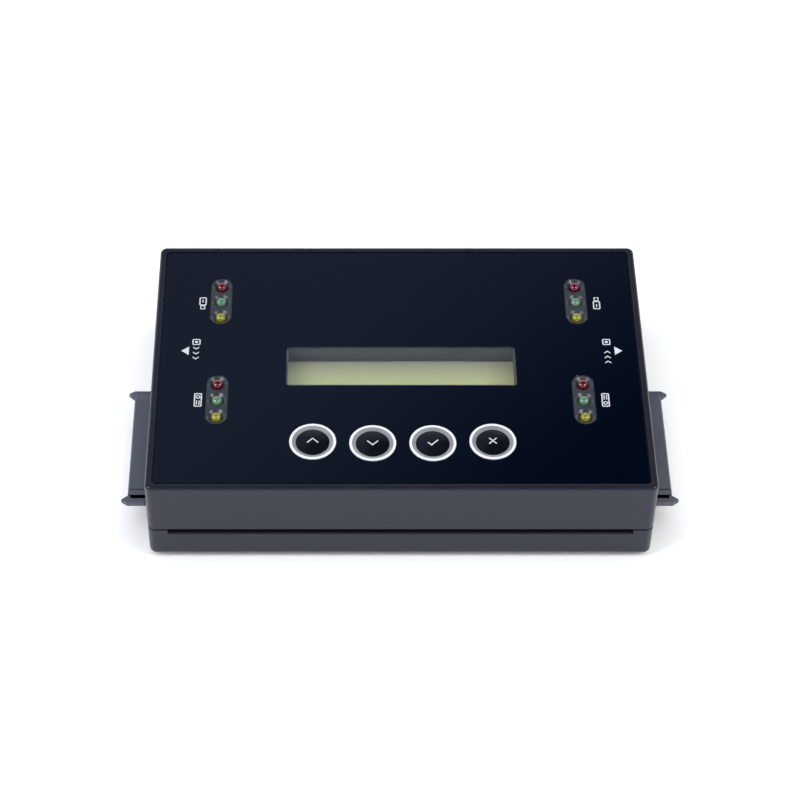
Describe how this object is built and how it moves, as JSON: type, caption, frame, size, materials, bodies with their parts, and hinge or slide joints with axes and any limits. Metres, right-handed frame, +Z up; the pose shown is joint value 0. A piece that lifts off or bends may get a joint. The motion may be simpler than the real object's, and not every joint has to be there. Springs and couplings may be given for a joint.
{
  "type": "drive duplicator",
  "caption": "Flat moulded duplicator box with a character display, round keys and status lamps on its dark face panel, and a drive socket and a stick socket in each side wall.",
  "frame": {"origin": "on the table, under the middle of the box", "axes": "+X from the source side to the target side, +Y from the front wall to the back wall, +Z up through the face panel"},
  "size_m": [0.1544, 0.0941, 0.0299],
  "materials": {
    "board_laminate": "solder mask",
    "can_metal": "drawn",
    "capacitor_aluminium": "drawn",
    "case_plastic": "satin moulded blue-grey",
    "chip_epoxy": "moulded",
    "coil_ferrite": "moulded",
    "contact_brass": "gold plated",
    "cover_plastic": "satin moulded blue-grey",
    "display_glass": "yellow-green, polished",
    "foot_rubber": "matt",
    "frame_metal": "black, satin",
    "holder_plastic": "moulded",
    "inlet_brass": "nickel plated",
    "inlet_plastic": "moulded",
    "insulator_plastic": "moulded",
    "key_black": "smooth",
    "lamp_green": "translucent",
    "lamp_red": "translucent",
    "lamp_yellow": "translucent",
    "lens_clear": "clear, polished",
    "light_guide": "milky",
    "panel_gloss": "polished dark navy",
    "plunger_plastic": "smooth",
    "ring_metal": "satin",
    "rocker_plastic": "satin",
    "screw_steel": "zinc plated",
    "shell_steel": "nickel plated",
    "socket_plastic": "moulded",
    "strip_plastic": "moulded",
    "switch_body_plastic": "smooth",
    "switch_plastic": "moulded",
    "terminal_brass": "tinned",
    "wire_cover": "smooth"
  },
  "bodies": {
    "housing": {"capacitors": "capacitor_aluminium", "case_screws": "screw_steel", "coils": "coil_ferrite", "controller_chips": "chip_epoxy", "crystals": "can_metal", "display_backlight": "light_guide", "display_board": "board_laminate", "display_frame": "frame_metal", "display_glass": "display_glass", "display_link_header": "strip_plastic", "display_link_socket": "strip_plastic", "display_screws": "screw_steel", "drive_contacts": "contact_brass", "face_panel": "panel_gloss", "green_lamps": "lamp_green", "inlet_housing": "inlet_plastic", "inlet_pin": "inlet_brass", "inlet_spring": "inlet_brass", "key_board": "board_laminate", "key_board_screws": "screw_steel", "key_link_header": "strip_plastic", "key_link_socket": "strip_plastic", "key_ring_1": "ring_metal", "key_ring_2": "ring_metal", "key_ring_3": "ring_metal", "key_ring_4": "ring_metal", "key_switch_1": "switch_body_plastic", "key_switch_2": "switch_body_plastic", "key_switch_3": "switch_body_plastic", "key_switch_4": "switch_body_plastic", "lamp_holders": "holder_plastic", "lower_shell": "case_plastic", "main_board": "board_laminate", "main_board_screws": "screw_steel", "memory_chip": "chip_epoxy", "red_lamps": "lamp_red", "rubber_feet": "foot_rubber", "source_drive_housing": "socket_plastic", "source_stick_insulator": "insulator_plastic", "source_stick_shell": "shell_steel", "stick_contacts": "contact_brass", "switch_housing": "switch_plastic", "switch_terminals": "terminal_brass", "switch_wires": "wire_cover", "target_drive_housing": "socket_plastic", "target_stick_insulator": "insulator_plastic", "target_stick_shell": "shell_steel", "upper_shell": "cover_plastic", "window_lens": "lens_clear", "yellow_lamps": "lamp_yellow"},
    "key_1": {"key_cap_1": "key_black", "key_plunger_1": "plunger_plastic"},
    "key_2": {"key_cap_2": "key_black", "key_plunger_2": "plunger_plastic"},
    "key_3": {"key_cap_3": "key_black", "key_plunger_3": "plunger_plastic"},
    "key_4": {"key_cap_4": "key_black", "key_plunger_4": "plunger_plastic"},
    "rocker": {"switch_rocker": "rocker_plastic"}
  },
  "joints": [
    {"name": "key_1_press", "type": "slide", "parent": "housing", "child": "key_1", "axis": [0, 0, -1], "range_m": [0, 0.0004], "stiffness_N_per_m": 1500, "springref_m": -0.0004},
    {"name": "key_2_press", "type": "slide", "parent": "housing", "child": "key_2", "axis": [0, 0, -1], "range_m": [0, 0.0004], "stiffness_N_per_m": 1500, "springref_m": -0.0004},
    {"name": "key_3_press", "type": "slide", "parent": "housing", "child": "key_3", "axis": [0, 0, -1], "range_m": [0, 0.0004], "stiffness_N_per_m": 1500, "springref_m": -0.0004},
    {"name": "key_4_press", "type": "slide", "parent": "housing", "child": "key_4", "axis": [0, 0, -1], "range_m": [0, 0.0004], "stiffness_N_per_m": 1500, "springref_m": -0.0004},
    {"name": "switch_rocker_tilt", "type": "hinge", "parent": "housing", "child": "rocker", "pos_m": [0.0205, 0.0443, 0.0206], "axis": [0, 0, -1], "range_deg": [0, 14]}
  ]
}
